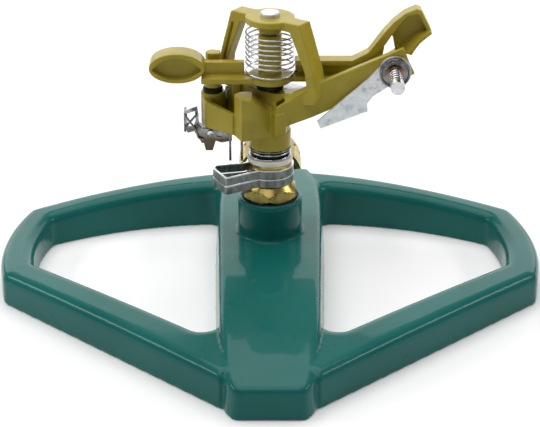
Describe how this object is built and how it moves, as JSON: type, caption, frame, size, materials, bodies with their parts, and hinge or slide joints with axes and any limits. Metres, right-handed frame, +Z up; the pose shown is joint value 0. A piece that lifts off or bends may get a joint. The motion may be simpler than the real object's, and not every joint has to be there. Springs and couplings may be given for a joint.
{
  "type": "impact lawn sprinkler",
  "caption": "Impact lawn sprinkler: cast sled base with two windows, brass bearing riser, turning cast head with sprung drive arm, stop collars, deflector flap and hose nut.",
  "frame": {"origin": "centre of the footprint's bounding box, on the ground", "axes": "+Z up, +X the throw direction of the barrel at rest, +Y towards the hose coupling; the riser axis is at y = 0.011"},
  "size_m": [0.238, 0.218, 0.1268],
  "materials": {
    "green_enamel": "gloss",
    "olive_enamel": "satin",
    "brass": "satin",
    "steel": "brushed",
    "bright_steel": "polished",
    "galvanised": "spangled matt",
    "black_rubber": "matt",
    "white_nylon": "matt",
    "copper": "satin"
  },
  "bodies": {
    "base": {"base_casting": "green_enamel", "seal_ring": "black_rubber", "bearing_sleeve": "brass", "inlet_tailpiece": "brass", "thrust_washer": "white_nylon"},
    "coupling": {"hose_nut": "brass", "hose_washer": "black_rubber"},
    "collar_low": {"lower_collar": "steel"},
    "collar_high": {"upper_collar": "steel"},
    "head": {"head_body": "olive_enamel", "flow_tube": "brass", "dust_seal": "black_rubber", "bearing_washer": "bright_steel", "bearing_spring": "bright_steel", "nozzle_insert": "brass", "fulcrum_pin": "bright_steel", "hub_washer": "black_rubber", "post_ring": "black_rubber", "anchor_pin": "bright_steel", "stop_plate": "galvanised", "deflector_screw": "bright_steel", "deflector_washer": "steel", "friction_ring": "copper", "deflector_spring": "bright_steel"},
    "arm": {"drive_arm": "olive_enamel", "arm_bush": "brass", "arm_spring": "bright_steel"},
    "trip": {"reversing_post": "olive_enamel", "trip_bracket": "steel", "trip_rivet": "bright_steel", "trip_wire": "bright_steel", "trip_spring": "bright_steel"},
    "flap": {"deflector_flap": "galvanised"}
  },
  "joints": [
    {"name": "head_swivel", "type": "hinge", "parent": "base", "child": "head", "pos_m": [0, 0.011, 0.062], "axis": [0, 0, 1], "continuous": true},
    {"name": "lower_collar_turn", "type": "hinge", "parent": "base", "child": "collar_low", "pos_m": [0, 0.011, 0.05], "axis": [0, 0, 1], "continuous": true},
    {"name": "upper_collar_turn", "type": "hinge", "parent": "base", "child": "collar_high", "pos_m": [0, 0.011, 0.054], "axis": [0, 0, 1], "continuous": true},
    {"name": "hose_nut_spin", "type": "hinge", "parent": "base", "child": "coupling", "pos_m": [0, 0.096, 0.0156], "axis": [0, 1, 0], "continuous": true},
    {"name": "arm_swing", "type": "hinge", "parent": "head", "child": "arm", "pos_m": [0, 0.011, 0.1], "axis": [0, 0, 1], "range_deg": [0, 105], "stiffness_Nm_per_rad": 0.02, "springref_deg": -28.65, "deforming": ["arm_spring"]},
    {"name": "trip_flip", "type": "hinge", "parent": "head", "child": "trip", "pos_m": [-0.0245, 0.0178, 0.08], "axis": [0, 0, 1], "range_deg": [-12, 12]},
    {"name": "deflector_tilt", "type": "hinge", "parent": "head", "child": "flap", "pos_m": [0.0517, -0.004, 0.1034], "axis": [0, 1, 0], "range_deg": [-150, 5]}
  ]
}
